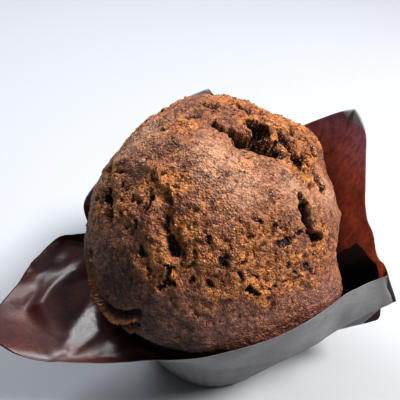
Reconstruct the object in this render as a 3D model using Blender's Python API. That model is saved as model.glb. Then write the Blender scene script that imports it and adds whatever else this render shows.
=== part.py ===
"""A chocolate muffin with a tall cracked crown, baked in a tulip case pressed from one square paper sheet.

The origin is the middle of the case's flat bottom, +Z is up, and every length is in metres.
"""
import math

import bmesh
import bpy
import numpy as np

# Driving dimensions
PAPER_THICKNESS = 0.0004
FIT_GAP = 0.0004          # air between the cake and its case
BASE_RADIUS = 0.0262      # outside of the case, at its flat bottom
WALL_SLOPE = 0.35         # how much wider the cup gets for each unit of height
CROWN_CENTRE = 0.0525     # height of the crown's widest ring
CROWN_RADIUS = 0.0445
CROWN_RISE = 0.0535       # from the widest ring to the top
CROWN_POWER = 1.9         # a little more pointed than an ellipse, which is 2
PETAL_STIFFNESS = 0.36    # share of a petal's reach along which it keeps its direction at each end
LIP_DEPTH = 0.0065        # how quickly the crown rolls under, back to the wall
LIP_BAND = 7.0            # degrees below the widest ring that the sheet hangs straight past the lip

# Mesh steps
CAKE_COLUMNS = 72
CROWN_ROWS = 18
WALL_ROWS = 7
SIDE_COLUMNS = 32         # columns along each side of the sheet
CUP_ROWS = 5
PETAL_ROWS = 8
SHARP_ANGLE = 50.0        # degrees between faces from which an edge is drawn sharp

# Swellings and hollows of the crown: name, azimuth, elevation, spread (degrees), height
CROWN_LOBES = (
    ("front crust", 265, 35, 40, 0.0010),
    ("hip to the right", 324, 2, 13, 0.0034),
    ("dimple above the right hip", 340, 15, 10, -0.0036),
    ("hollow over the folded side", 352, -4, 12, -0.0040),
    ("hip to the left", 205, -2, 22, 0.0010),
    ("left shoulder", 160, 24, 24, 0.0016),
    ("top of the rear lobe", 92, 54, 18, 0.0036),
    ("end of the rear lobe", 27, 46, 12, 0.0048),
    ("dip behind the rear lobe", 60, 50, 12, -0.0022),
    ("dip between the lobes", 12, 30, 10, -0.0030),
    ("pressed by the case", 288, 4, 24, -0.0024),
)

# The crack that parts the front crust from the rear lobe: azimuth, elevation (degrees)
CRACK = ((200, 86), (280, 81), (312, 71), (331, 63), (344, 53))
CRACK_DEPTH = 0.0025
CRACK_SPREAD = 5.0        # degrees to each side
CRACK_STEPS = 40

# The free edge of the sheet, one table for each side from corner to corner: azimuth (degrees), radius,
# height, and how far (0 to 1) the sheet below is creased instead of hanging in one curve
FRONT_EDGE = (
    (201.0, 0.0835, 0.0410, 0),
    (203.0, 0.0803, 0.0410, 0),
    (205.6, 0.0769, 0.0410, 0),
    (208.4, 0.0744, 0.0410, 0),
    (211.3, 0.0715, 0.0410, 0),
    (215.9, 0.0661, 0.0408, 0),
    (219.9, 0.0615, 0.0408, 0),
    (225.5, 0.0560, 0.0410, 0),
    (230.6, 0.0520, 0.0415, 0),
    (236.3, 0.0487, 0.0427, 0),
    (254.2, 0.0460, 0.0500, 0),
    (263.5, 0.0452, 0.0522, 0),
    (278.0, 0.0448, 0.0562, 0),
    (290.0, 0.0450, 0.0580, 1),
    (303.0, 0.0452, 0.0588, 1),
    (325.0, 0.0475, 0.0580, 1),
    (333.0, 0.0512, 0.0576, 1),
    (338.9, 0.0579, 0.0598, 1),
)
RIGHT_EDGE = (
    (338.9, 0.0579, 0.0598, 1),
    (338.3, 0.0603, 0.0555, 1),
    (337.6, 0.0628, 0.0510, 1),
    (340.5, 0.0600, 0.0545, 1),
    (343.5, 0.0583, 0.0570, 1),
    (347.9, 0.0579, 0.0555, 1),
    (350.5, 0.0565, 0.0552, 1),
    (353.0, 0.0558, 0.0561, 0.7),
    (359.0, 0.0556, 0.0585, 0),
    (364.0, 0.0541, 0.0618, 0),
    (367.7, 0.0541, 0.0650, 0),
    (372.9, 0.0553, 0.0700, 0),
    (379.5, 0.0579, 0.0760, 0),
    (385.7, 0.0613, 0.0820, 0),
    (390.5, 0.0638, 0.0842, 0),
    (396.7, 0.0677, 0.0850, 0),
)
BACK_EDGE = (
    (396.7, 0.0677, 0.0850, 0),
    (399.5, 0.0640, 0.0838, 0),
    (405.0, 0.0606, 0.0796, 0),
    (412.0, 0.0575, 0.0740, 0),
    (424.0, 0.0510, 0.0600, 0),
    (432.0, 0.0500, 0.0540, 0),
    (440.0, 0.0515, 0.0640, 0),
    (446.0, 0.0545, 0.0780, 0),
    (451.5, 0.0560, 0.0860, 0),
)
LEFT_EDGE = (
    (451.5, 0.0560, 0.0860, 0),
    (469.0, 0.0545, 0.0800, 0),
    (490.0, 0.0530, 0.0680, 0),
    (511.0, 0.0515, 0.0620, 0),
    (522.5, 0.0508, 0.0605, 0),
    (528.5, 0.0490, 0.0492, 0),
    (531.0, 0.0537, 0.0494, 0),
    (532.5, 0.0584, 0.0493, 0),
    (536.1, 0.0615, 0.0484, 0),
    (539.7, 0.0641, 0.0472, 0),
    (542.8, 0.0669, 0.0462, 0),
    (546.2, 0.0693, 0.0450, 0),
    (551.2, 0.0734, 0.0434, 0),
    (554.2, 0.0762, 0.0425, 0),
    (557.5, 0.0795, 0.0418, 0),
    (561.0, 0.0835, 0.0410, 0),
)
EDGES = (FRONT_EDGE, RIGHT_EDGE, BACK_EDGE, LEFT_EDGE)

# How the sheet hangs: azimuth (degrees), height at which it leaves the cup's wall, and the slope of its
# last stretch (degrees)
HANG = (
    (201.0, 0.0330, 13.0),
    (218.0, 0.0340, 10.0),
    (235.0, 0.0360, 45.0),
    (255.0, 0.0400, 75.0),
    (285.0, 0.0300, 80.0),
    (308.0, 0.0100, 80.0),
    (335.0, 0.0040, 75.0),
    (345.0, 0.0100, 60.0),
    (356.0, 0.0250, 60.0),
    (395.0, 0.0380, 75.0),
    (430.0, 0.0450, 80.0),
    (500.0, 0.0450, 80.0),
    (525.0, 0.0430, 80.0),
    (536.0, 0.0380, 30.0),
    (561.0, 0.0330, 13.0),
)

# The crease under the front right side: azimuth (degrees), radius, height
CREASE = (
    (278.0, 0.0362, 0.0290),
    (283.0, 0.0367, 0.0300),
    (299.0, 0.0392, 0.0315),
    (311.6, 0.0424, 0.0340),
    (326.0, 0.0481, 0.0390),
    (333.0, 0.0550, 0.0450),
    (337.6, 0.0626, 0.0506),
    (339.5, 0.0600, 0.0440),
    (342.0, 0.0565, 0.0300),
    (346.0, 0.0615, 0.0275),
    (349.0, 0.0636, 0.0260),
    (351.0, 0.0600, 0.0300),
    (354.0, 0.0530, 0.0270),
)

CRUST = ("baked_chocolate_crumb", (0.115, 0.040, 0.018, 1.0), 0.75)
PAPER = ("greaseproof_paper", (0.110, 0.018, 0.012, 1.0), 0.40)


def clear_scene():
    for old in list(bpy.data.objects):
        bpy.data.objects.remove(old, do_unlink=True)


def material(name, colour, roughness):
    made = bpy.data.materials.new(name)
    made.use_nodes = True
    shader = made.node_tree.nodes["Principled BSDF"]
    shader.inputs["Base Color"].default_value = colour
    shader.inputs["Roughness"].default_value = roughness
    shader.inputs["Metallic"].default_value = 0.0
    made.diffuse_color = colour
    return made


def add_object(name, points, faces, finish):
    """One named object from a closed mesh, shaded smooth except at its sharp edges."""
    mesh = bpy.data.meshes.new(name)
    mesh.from_pydata([tuple(p) for p in points], [], faces)
    made = bpy.data.objects.new(name, mesh)
    bpy.context.scene.collection.objects.link(made)
    work = bmesh.new()
    work.from_mesh(mesh)
    bmesh.ops.recalc_face_normals(work, faces=work.faces)
    work.to_mesh(mesh)
    work.free()
    mesh.shade_smooth()
    mesh.set_sharp_from_angle(angle=math.radians(SHARP_ANGLE))
    mesh.materials.append(material(*finish))
    return made


def smooth_through(knots, steps):
    """Catmull-Rom curve through the knots, at steps + 1 evenly spaced values of its chord length."""
    knots = np.asarray(knots, dtype=float)
    place = knots[:, :3] / knots[:, :3].std(axis=0)
    gaps = np.linalg.norm(np.diff(place, axis=0), axis=1)
    along = np.concatenate([[0.0], np.cumsum(gaps)])
    slopes = np.gradient(knots, along, axis=0)
    at = np.linspace(0.0, along[-1], steps + 1)
    span = np.clip(np.searchsorted(along, at, side="right") - 1, 0, len(knots) - 2)
    width = (along[span + 1] - along[span])[:, None]
    t = ((at - along[span])[:, None]) / width
    start = (1 + 2 * t) * (1 - t) ** 2 * knots[span] + t * (1 - t) ** 2 * width * slopes[span]
    end = t**2 * (3 - 2 * t) * knots[span + 1] + t**2 * (t - 1) * width * slopes[span + 1]
    return start + end


def direction(azimuth, elevation):
    a, e = np.radians(azimuth), np.radians(elevation)
    return np.stack([np.cos(a) * np.cos(e), np.sin(a) * np.cos(e), np.sin(e)], axis=-1)


def between(first, second):
    """Angle in degrees between unit vectors."""
    return np.degrees(np.arccos(np.clip((first * second).sum(axis=-1), -1.0, 1.0)))


# The cake

CAKE_FLOOR = PAPER_THICKNESS + FIT_GAP
CAKE_BASE_RADIUS = BASE_RADIUS - PAPER_THICKNESS - 2 * FIT_GAP


def crack_depth(towards):
    """How far the crack sinks the crown in each direction."""
    line = smooth_through(CRACK, CRACK_STEPS)
    near = np.min([between(towards, direction(a, e)) for a, e in line], axis=0)
    return CRACK_DEPTH * np.exp(-((near / CRACK_SPREAD) ** 2))


def cake_reach(azimuth, elevation):
    """Distance from the crown's centre to the cake's surface."""
    rise = np.radians(elevation)
    flat, up = np.cos(rise), np.sin(rise)
    height = np.where(up >= 0.0, CROWN_RISE, LIP_DEPTH)
    crown = (flat / CROWN_RADIUS) ** CROWN_POWER + (np.abs(up) / height) ** CROWN_POWER
    crown = crown ** (-1 / CROWN_POWER)
    towards = direction(azimuth, elevation)
    for _, lobe_azimuth, lobe_elevation, spread, swell in CROWN_LOBES:
        away = between(towards, direction(lobe_azimuth, lobe_elevation))
        crown = crown + swell * np.exp(-((away / spread) ** 2))
    crown = crown - crack_depth(towards)
    wall = (CAKE_BASE_RADIUS + WALL_SLOPE * CROWN_CENTRE) / np.maximum(flat - WALL_SLOPE * up, 0.1)
    floor = (CROWN_CENTRE - CAKE_FLOOR) / np.maximum(-up, 0.01)
    body = np.minimum(wall, floor)
    return np.where(up >= 0.0, crown, np.maximum(crown, body))


def make_muffin():
    corner = math.degrees(math.atan2(CROWN_CENTRE - CAKE_FLOOR, CAKE_BASE_RADIUS))
    floor_rows = (-80.0, -70.0)
    wall_rows = np.linspace(-corner, -9.0, WALL_ROWS)
    lip_rows = (-6.5, -4.5, -2.5)
    crown_rows = np.linspace(0.0, 90.0, CROWN_ROWS + 1)[:-1]
    rows = np.concatenate([floor_rows, wall_rows, lip_rows, crown_rows])
    columns = np.arange(CAKE_COLUMNS) * 360.0 / CAKE_COLUMNS
    elevation, azimuth = np.meshgrid(rows, columns, indexing="ij")
    points = direction(azimuth, elevation) * cake_reach(azimuth, elevation)[..., None]
    points = points.reshape(-1, 3)
    centre = np.array([0.0, 0.0, CROWN_CENTRE])
    poles = np.array([[0.0, 0.0, CAKE_FLOOR - CROWN_CENTRE],
                      [0.0, 0.0, cake_reach(np.array(0.0), np.array(90.0))]])
    points = np.concatenate([points, poles]) + centre
    faces = []
    for row in range(len(rows) - 1):
        for column in range(CAKE_COLUMNS):
            beside = (column + 1) % CAKE_COLUMNS
            low, high = row * CAKE_COLUMNS, (row + 1) * CAKE_COLUMNS
            faces.append((low + column, low + beside, high + beside, high + column))
    bottom, top = len(points) - 2, len(points) - 1
    last = (len(rows) - 1) * CAKE_COLUMNS
    for column in range(CAKE_COLUMNS):
        beside = (column + 1) % CAKE_COLUMNS
        faces.append((beside, column, bottom))
        faces.append((last + column, last + beside, top))
    return add_object("muffin", points, faces, CRUST)


# The case

def sheet_rows(azimuth, edge_radius, edge_height, creased):
    """Points of the sheet's middle surface up one column, from its flat bottom to its free edge."""
    half = PAPER_THICKNESS / 2
    azimuths, heights, slopes = zip(*HANG)
    leave_height = np.interp(azimuth, azimuths, heights)
    slope = math.radians(np.interp(azimuth, azimuths, slopes))
    wall = np.array([WALL_SLOPE, 1.0])
    foot = np.array([BASE_RADIUS - half, half])
    leave = foot + wall * (leave_height - half)
    edge = np.array([edge_radius, edge_height])
    reach = np.linalg.norm(edge - leave) * PETAL_STIFFNESS
    after_leave = leave + wall / math.hypot(*wall) * reach
    before_edge = edge - np.array([math.cos(slope), math.sin(slope)]) * reach
    cup = [foot + (leave - foot) * k / CUP_ROWS for k in range(CUP_ROWS)]
    petal = []
    for k in range(PETAL_ROWS + 1):
        t = k / PETAL_ROWS
        petal.append((1 - t) ** 3 * leave + 3 * t * (1 - t) ** 2 * after_leave
                     + 3 * t**2 * (1 - t) * before_edge + t**3 * edge)
    hanging = np.array(cup + petal)
    crease_azimuths, crease_radii, crease_heights = zip(*CREASE)
    crease = np.array([
        np.interp(azimuth, crease_azimuths, crease_radii),
        np.interp(azimuth, crease_azimuths, crease_heights)])
    below = foot + (crease - foot) * np.linspace(0.0, 1.0, CUP_ROWS, endpoint=False)[:, None]
    above = crease + (edge - crease) * np.linspace(0.0, 1.0, PETAL_ROWS + 1)[:, None]
    share = min(max(creased, 0.0), 1.0)
    share = share * share * (3 - 2 * share)
    profile = hanging + (np.concatenate([below, above]) - hanging) * share
    flat = math.radians(azimuth)
    return [(r * math.cos(flat), r * math.sin(flat), z) for r, z in profile]


def clear_of_cake(points):
    """Pushes the upper half of the sheet out to where it just clears the crown."""
    centre = np.array([0.0, 0.0, CROWN_CENTRE])
    away = points - centre
    length = np.linalg.norm(away, axis=-1)
    azimuth = np.degrees(np.arctan2(away[..., 1], away[..., 0]))
    elevation = np.degrees(np.arcsin(away[..., 2] / length))
    elevation = np.where(elevation > -LIP_BAND, np.maximum(elevation, 0.0), elevation)
    least = cake_reach(azimuth, elevation) + PAPER_THICKNESS / 2 + 3 * FIT_GAP
    stretch = np.where(points[..., 2] > CROWN_CENTRE / 2, np.maximum(least / length, 1.0), 1.0)
    return centre + away * stretch[..., None]


def make_case():
    columns = []
    for edge in EDGES:
        columns += [sheet_rows(*knot) for knot in smooth_through(edge, SIDE_COLUMNS)[:-1]]
    middle = clear_of_cake(np.array(columns))
    around, up = len(middle), len(middle[0])
    tangent = np.roll(middle, -1, axis=0) - np.roll(middle, 1, axis=0)
    climb = np.gradient(middle, axis=1)
    outward = np.cross(tangent, climb)
    outward /= np.linalg.norm(outward, axis=2, keepdims=True)
    half = PAPER_THICKNESS / 2
    outer = middle + outward * half
    inner = middle - outward * half
    outer[:, 0, 2] = 0.0
    inner[:, 0, 2] = PAPER_THICKNESS
    points = np.concatenate([outer.reshape(-1, 3), inner.reshape(-1, 3)])
    skin = around * up
    faces = []
    for column in range(around):
        here, beside = column * up, (column + 1) % around * up
        for row in range(up - 1):
            square = np.array([here + row, beside + row, beside + row + 1, here + row + 1])
            faces.append(tuple(square))
            faces.append(tuple(square[::-1] + skin))
        faces.append((here + up - 1, beside + up - 1, skin + beside + up - 1, skin + here + up - 1))
    faces.append([column * up for column in range(around)][::-1])
    faces.append([skin + column * up for column in range(around)])
    return add_object("tulip_paper_case", points, faces, PAPER)


clear_scene()
make_muffin()
make_case()
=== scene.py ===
import math

import bpy
import numpy as np
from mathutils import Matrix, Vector, noise
from mathutils.bvhtree import BVHTree


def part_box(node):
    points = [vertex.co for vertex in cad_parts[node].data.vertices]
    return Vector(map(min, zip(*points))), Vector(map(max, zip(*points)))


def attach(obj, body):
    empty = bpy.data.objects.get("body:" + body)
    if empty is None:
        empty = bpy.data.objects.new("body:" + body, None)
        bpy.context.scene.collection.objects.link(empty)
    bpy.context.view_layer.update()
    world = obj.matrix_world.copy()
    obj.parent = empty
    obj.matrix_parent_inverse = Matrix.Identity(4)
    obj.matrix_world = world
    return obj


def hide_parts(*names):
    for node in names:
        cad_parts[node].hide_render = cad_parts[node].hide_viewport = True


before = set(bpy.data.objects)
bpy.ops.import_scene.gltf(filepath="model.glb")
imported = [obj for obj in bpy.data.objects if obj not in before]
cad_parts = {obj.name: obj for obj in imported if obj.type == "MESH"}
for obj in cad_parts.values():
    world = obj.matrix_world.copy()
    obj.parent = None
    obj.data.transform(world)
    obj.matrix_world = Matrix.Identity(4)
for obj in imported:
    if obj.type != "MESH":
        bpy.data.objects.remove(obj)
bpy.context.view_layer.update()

# ---- The table, the light and the camera -------------------------------------------------------------
# A pale matt table top lit by four soft panels: a strong small one high on the right, one behind for the
# sheen of the greaseproof, a wide wall of light behind and a weak ceiling. The camera looks down from
# the front.

FLOOR_SIZE = 6.0
FLOOR_DROP = 0.0002          # the table top lies this much below the case
LIGHT_AIM = (0.0, 0.0, 0.06)
SKY_COLOUR = (0.80, 0.90, 1.0, 1.0)
SKY_STRENGTH = 0.03
VIEW_GAMMA = 0.76            # deepens the shadows
CAMERA_PLACE = (-0.0052, -0.1139, 0.1690)
CAMERA_TILT = 50.0           # degrees up from looking straight down
CAMERA_LENS = 40.4           # in mm, on a 36 mm sensor


def floor_finish():
    made = bpy.data.materials.new("pale_table")
    made.use_nodes = True
    shader = made.node_tree.nodes["Principled BSDF"]
    shader.inputs["Base Color"].default_value = (0.50, 0.52, 0.55, 1.0)
    shader.inputs["Roughness"].default_value = 0.6
    return made


def make_floor():
    half = FLOOR_SIZE / 2
    mesh = bpy.data.meshes.new("table_top")
    corners = ((-half, -half), (half, -half), (half, half), (-half, half))
    mesh.from_pydata([(x, y, -FLOOR_DROP) for x, y in corners], [], [(0, 1, 2, 3)])
    mesh.materials.append(floor_finish())
    made = bpy.data.objects.new("table_top", mesh)
    bpy.context.scene.collection.objects.link(made)


def add_light(name, towards, away, size, power, colour):
    """A flat soft light that shines at the muffin from the given direction and distance."""
    lamp = bpy.data.lights.new(name, "AREA")
    lamp.shape = "RECTANGLE"
    lamp.size, lamp.size_y = size
    lamp.energy = power
    lamp.color = colour
    made = bpy.data.objects.new(name, lamp)
    made.location = Vector(LIGHT_AIM) + Vector(towards).normalized() * away
    made.rotation_euler = Vector(towards).to_track_quat("Z", "Y").to_euler()
    bpy.context.scene.collection.objects.link(made)


def light_the_table():
    add_light("window_right", (0.60, -0.10, 0.79), 1.0, (0.28, 0.28), 17.0, (1.0, 0.97, 0.94))
    add_light("window_behind", (-0.34, 0.56, 0.76), 1.1, (0.42, 0.34), 7.5, (0.97, 0.98, 1.0))
    add_light("wall_behind", (-0.30, 0.80, 0.52), 1.5, (2.6, 1.3), 8.2, (0.95, 0.97, 1.0))
    add_light("ceiling", (-0.12, -0.30, 0.95), 1.3, (0.9, 0.9), 2.4, (0.90, 0.95, 1.0))
    world = bpy.data.worlds.new("studio")
    world.use_nodes = True
    sky = world.node_tree.nodes["Background"]
    sky.inputs["Color"].default_value = SKY_COLOUR
    sky.inputs["Strength"].default_value = SKY_STRENGTH
    bpy.context.scene.world = world
    bpy.context.scene.view_settings.view_transform = "Standard"
    bpy.context.scene.view_settings.gamma = VIEW_GAMMA


def make_camera():
    lens = bpy.data.cameras.new("camera")
    lens.lens = CAMERA_LENS
    lens.sensor_width = 36.0
    lens.clip_start = 0.005
    made = bpy.data.objects.new("camera", lens)
    made.location = CAMERA_PLACE
    made.rotation_euler = (math.radians(CAMERA_TILT), 0.0, 0.0)
    bpy.context.scene.collection.objects.link(made)
    bpy.context.scene.camera = made


make_floor()
light_the_table()
make_camera()

# ---- The muffin --------------------------------------------------------------------------------------
# One piece of baked chocolate batter. Its crown rose out of the case, split along the top and crusted
# over, with blowholes, torn ledges and a thin lip on the left where the batter met the paper.

CAKE_CELLS = 127            # cells along each side of the six patches that cover the cake
CAKE_CROWDING = 0.30        # how much closer together the cells are on the crown
CENTRE_SHARE = 0.49264      # height of the crown's widest ring, as a share of the cake's height
CROWN_SPAN = 0.045          # radius at which the marks below are measured
FACET_SMOOTHING = 26        # rounds of averaging that take away the plain solid's facets
SHOWING_BAND = (-4.0, 6.0)  # elevations between which the crust fades in, out of the case
ROSY_BAND = (14.0, 34.0)    # elevations between which the crust's rosy tint fades out
HOLE_RIM = (1.15, 0.45)     # where a hole starts and where it is full depth, as shares of its half width
HOLE_DEPTH = 1.35           # all the holes together are this much deeper than their marks say

# Splits and blowholes: azimuth and elevation in degrees of both ends, half width and depth in mm
HOLES = (
    ("left end of the split", 131, 81, 106, 85, 0.8, 1.2),
    ("narrow part of the split", 250, 87, 281, 84, 0.7, 2.4),
    ("start of the split", 281, 84, 306, 79, 0.9, 2.8),
    ("hole by the left end", 177, 81, 167, 84, 0.7, 1.0),
    ("round hole in the rear lobe", 347, 79, 336, 76, 1.9, 4.5),
    ("wide part of the split", 308, 77, 329, 68, 2.1, 5.0),
    ("deepest part of the split", 322, 72, 331, 68, 2.4, 5.5),
    ("end of the split", 329, 68, 344, 59, 1.0, 2.0),
    ("hole past the split", 355, 70, 348, 67, 1.0, 2.6),
    ("hole on the rear lobe", 14, 62, 1, 62, 1.0, 2.2),
    ("hole beside the dip", 347, 66, 343, 61, 1.2, 3.0),
    ("low hole beside the dip", 351, 59, 349, 54, 1.1, 2.4),
    ("groove on the rear lobe", 30, 74, 5, 70, 0.8, 1.6),
    ("groove on the rear lobe", 70, 78, 20, 80, 0.9, 1.4),
    ("groove on the rear lobe", 8, 56, 2, 52, 0.9, 2.0),
    ("long hole on the right", 347, 50, 339, 45, 1.4, 2.8),
    ("top of the right crevice", 318, 52, 317, 48, 1.3, 3.2),
    ("middle of the right crevice", 317, 48, 315, 43, 2.1, 5.0),
    ("bottom of the right crevice", 315, 43, 317, 38, 1.7, 4.2),
    ("tail of the right crevice", 315, 39, 314, 36, 0.8, 1.8),
    ("crease from the crevice", 308, 42, 297, 43, 0.7, 0.8),
    ("hole on the left", 203, 43, 210, 39, 1.8, 4.0),
    ("top of the hole on the left", 200, 46, 204, 43, 1.0, 2.2),
    ("small hole on the left", 182, 46, 190, 47, 1.1, 2.0),
    ("crack on the left", 190, 47, 203, 55, 0.6, 0.9),
    ("bottom of the middle groove", 247, 46, 250, 41, 1.0, 1.0),
    ("nick under the groove", 235, 39, 236, 36, 0.6, 1.2),
    ("pore", 271, 42, 272, 40, 0.6, 1.1),
    ("pore", 276, 40, 280, 39, 0.6, 0.8),
    ("pore", 249, 35, 249, 31, 0.6, 1.1),
    ("pore", 251, 31, 247, 28, 0.5, 0.8),
    ("pore", 260, 35, 260, 33, 0.5, 0.7),
    ("pore", 277, 36, 279, 34, 0.7, 0.8),
    ("pore", 281, 31, 284, 28, 0.7, 1.1),
    ("pore", 299, 35, 299, 34, 0.6, 0.6),
    ("pore", 230, 54, 231, 51, 0.5, 0.7),
    ("pore", 299, 21, 300, 17, 0.5, 0.7),
    ("pore", 265, 47, 265, 46, 0.5, 0.6),
    ("pore", 287, 52, 290, 51, 0.5, 0.5),
    ("pore", 296, 30, 298, 29, 0.5, 0.6),
    ("pore", 308, 30, 309, 28, 0.6, 0.7),
    ("pore", 240, 33, 241, 31, 0.5, 0.6),
    ("pore", 228, 46, 229, 44, 0.5, 0.6),
    ("hole at the back", 40, 30, 48, 33, 1.6, 3.5),
    ("hole at the back", 95, 28, 96, 22, 1.9, 3.5),
    ("hole at the back", 140, 40, 150, 42, 1.4, 3.0),
    ("crack at the back", 110, 62, 150, 58, 0.8, 1.6),
    ("crack at the back", 60, 44, 95, 40, 0.8, 1.6),
    ("pore", 70, 20, 74, 19, 0.6, 0.8),
    ("pore", 120, 15, 121, 13, 0.6, 0.8),
    ("pore", 165, 25, 167, 22, 0.6, 0.8),
)

# Ridges and swellings: azimuth and elevation of both ends, half width and height in mm
RIDGES = (
    ("edge of the torn crust", 174, 41, 193, 56, 1.6, 0.7),
    ("edge of the torn crust", 193, 56, 218, 62, 1.8, 0.6),
    ("edge of the torn crust", 218, 62, 249, 59, 2.0, 0.6),
    ("groove down the middle", 239, 55, 244, 49, 1.8, -0.9),
    ("groove down the middle", 244, 49, 251, 41, 2.4, -1.3),
    ("rim of the crevice", 281, 46, 306, 38, 2.0, 0.9),
    ("right lip of the crevice", 323, 47, 322, 38, 1.7, 1.2),
    ("left lip of the crevice", 308, 51, 306, 44, 2.6, 0.7),
    ("front lip of the split", 296, 72, 322, 63, 2.0, 1.1),
    ("front lip of the split", 322, 63, 338, 53, 2.0, 0.9),
    ("back lip of the split", 318, 80, 352, 73, 1.6, 1.0),
    ("finger of the rear lobe", 350, 65, 357, 62, 1.4, 0.8),
    ("finger of the rear lobe", 2, 68, 358, 58, 1.4, 0.8),
    ("crest of the rear lobe", 150, 78, 40, 78, 2.6, 0.9),
    ("knob by the left hole", 213, 44, 218, 47, 2.4, 0.8),
    ("knob by the groove", 234, 50, 237, 46, 2.4, 0.9),
    ("knob by the groove", 254, 50, 256, 45, 2.4, 0.7),
    ("knob under the crevice", 311, 35, 306, 33, 2.0, 0.5),
    ("ledge across the front", 255, 30, 285, 24, 2.4, 0.4),
)

# The thin double lip where the batter met the paper on the left: azimuth and elevation along it, then the
# height and half width in mm of each lip and of the grooves, and how many degrees these lie off the skirt
SKIRT = ((204, 14), (207, 9), (213, 3), (221, 1), (229, 3), (235, 7), (238, 10))
LOWER_SKIRT = ((214, -4), (220, -7), (227, -7), (233, -3))
SKIRT_LIP = (2.2, 0.55)
LOWER_LIP = (1.8, 0.5)
SKIRT_GROOVE = (-2.4, 1.3)
GROOVE_ABOVE, GROOVE_BELOW = 3.0, -3.5

# Where the top crust tore and the moist orange crumb shows: azimuth, elevation, spread (degrees)
TORN_SPOTS = (
    (240, 61, 5), (226, 58, 6), (217, 47, 9), (283, 45, 7), (299, 41, 8), (318, 36, 7), (255, 44, 8),
    (270, 38, 10), (306, 31, 9), (245, 34, 9), (290, 30, 8), (340, 76, 7), (10, 62, 13), (60, 74, 12),
    (200, 78, 6), (340, 58, 8), (60, 35, 14), (130, 50, 16), (195, 42, 9), (90, 55, 12),
)

# Paler crust, partly painted highlight, and painted shade that darkens the crust: azimuth, elevation, spread
PALE_AND_HIGHLIGHT_SPOTS = ((266, 71, 9), (285, 64, 10), (320, 57, 10), (342, 44, 8), (175, 62, 12), (60, 60, 16))
PAINTED_SHADE_SPOTS = (
    (228, 22, 17), (252, 2, 15), (225, 2, 20), (205, 12, 12), (185, 15, 14), (272, -2, 10), (258, 5, 14),
    (242, 9, 13),
)

cake_low, cake_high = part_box("muffin")
crown_middle = Vector((0.0, 0.0, cake_low.z + (cake_high.z - cake_low.z) * CENTRE_SHARE))


def direction(azimuth, elevation):
    a, e = np.radians(azimuth), np.radians(elevation)
    return np.stack([np.cos(a) * np.cos(e), np.sin(a) * np.cos(e), np.sin(e)], axis=-1)


def covered_sphere(cells):
    """Unit directions and outward quads of a sphere made from six square patches, with no pole."""
    steps = np.tan(np.linspace(-1.0, 1.0, cells + 1) * math.pi / 4)
    across, along = np.meshgrid(steps, steps, indexing="ij")
    patches = []
    for axis in range(3):
        for side in (1.0, -1.0):
            patch = np.empty(across.shape + (3,))
            patch[..., axis] = side
            patch[..., (axis + 1) % 3] = across * side
            patch[..., (axis + 2) % 3] = along
            patches.append(patch)
    points = np.concatenate([patch.reshape(-1, 3) for patch in patches])
    points, places = np.unique(np.round(points, 6), axis=0, return_inverse=True)
    places = places.reshape(6, cells + 1, cells + 1)
    corners = [places[:, :-1, :-1], places[:, 1:, :-1], places[:, 1:, 1:], places[:, :-1, 1:]]
    quads = np.stack(corners, axis=-1)
    points /= np.linalg.norm(points, axis=1, keepdims=True)
    return points, quads.reshape(-1, 4)


def crowd_upwards(towards):
    """Moves directions up the sphere, so that the crown gets more of them than the hidden cake below."""
    rise = towards[:, 2]
    lifted = rise + CAKE_CROWDING * (1 - rise**2)
    widen = np.sqrt((1 - lifted**2) / np.maximum(1 - rise**2, 1e-9))
    return np.column_stack([towards[:, 0] * widen, towards[:, 1] * widen, lifted])


def spread_out(field, quads, rounds):
    """Averages a field with its neighbours along the mesh's edges, a number of times."""
    field = np.asarray(field, dtype=float)
    starts = quads.reshape(-1)
    ends = np.roll(quads, -1, axis=1).reshape(-1)
    count = np.bincount(starts, minlength=len(field)) + 1.0
    columns = field.reshape(len(field), -1)
    for _ in range(rounds):
        columns = np.column_stack([
            (column + np.bincount(starts, weights=column[ends], minlength=len(column))) / count
            for column in columns.T])
    return columns.reshape(field.shape)


def outward_normals(points, quads):
    first = points[quads[:, 2]] - points[quads[:, 0]]
    second = points[quads[:, 3]] - points[quads[:, 1]]
    turned = np.repeat(np.cross(first, second), 4, axis=0)
    corners = quads.reshape(-1)
    total = np.column_stack([
        np.bincount(corners, weights=turned[:, k], minlength=len(points)) for k in range(3)])
    return total / np.linalg.norm(total, axis=1, keepdims=True)


def rough(points, size, seed, octaves=3):
    """Smooth noise of about -1 to 1, whose largest lumps are about size metres across."""
    shift = Vector((seed * 7.3, seed * 3.1, seed * 5.7))
    return np.array([noise.fractal(Vector(p) / size + shift, 1.0, 2.0, octaves) for p in points])


DOME_STEEPNESS = 1.35


def domes(points, size, seed):
    """1 at the middle of each crumb of about size metres across, 0 in the gaps between them."""
    shift = Vector((seed * 2.7, seed * 5.1, seed * 3.3))
    nearest = np.array([noise.voronoi(Vector(p) / size + shift)[0][0] for p in points])
    return 1.0 - np.minimum(nearest * DOME_STEEPNESS, 1.0)


def reach_of(mesh_object, towards):
    """How far a closed mesh lies from the middle of the crown in each direction."""
    mesh = mesh_object.data
    faces = [tuple(face.vertices) for face in mesh.polygons]
    tree = BVHTree.FromPolygons([v.co.copy() for v in mesh.vertices], faces)
    reach = np.zeros(len(towards))
    for k, way in enumerate(towards):
        found = tree.ray_cast(crown_middle, Vector(way))
        reach[k] = found[3] if found[0] is not None else np.nan
    return np.where(np.isnan(reach), np.nanmean(reach), reach)


def from_stroke(towards, azimuth, elevation, end_azimuth, end_elevation):
    """Distance in mm along the crown from each direction to the short line between two marks."""
    start = direction(azimuth, elevation)
    line = direction(end_azimuth, end_elevation) - start
    share = np.clip(((towards - start) @ line) / max(line @ line, 1e-9), 0.0, 1.0)
    return np.linalg.norm(towards - start - share[:, None] * line, axis=1) * CROWN_SPAN * 1000


def from_path(towards, path, lifted=0.0):
    """Distance in mm from each direction to a line through several marks, moved up by some degrees."""
    marks = [(azimuth, elevation + lifted) for azimuth, elevation in path]
    return np.min([from_stroke(towards, *start, *end) for start, end in zip(marks, marks[1:])], axis=0)


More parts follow.
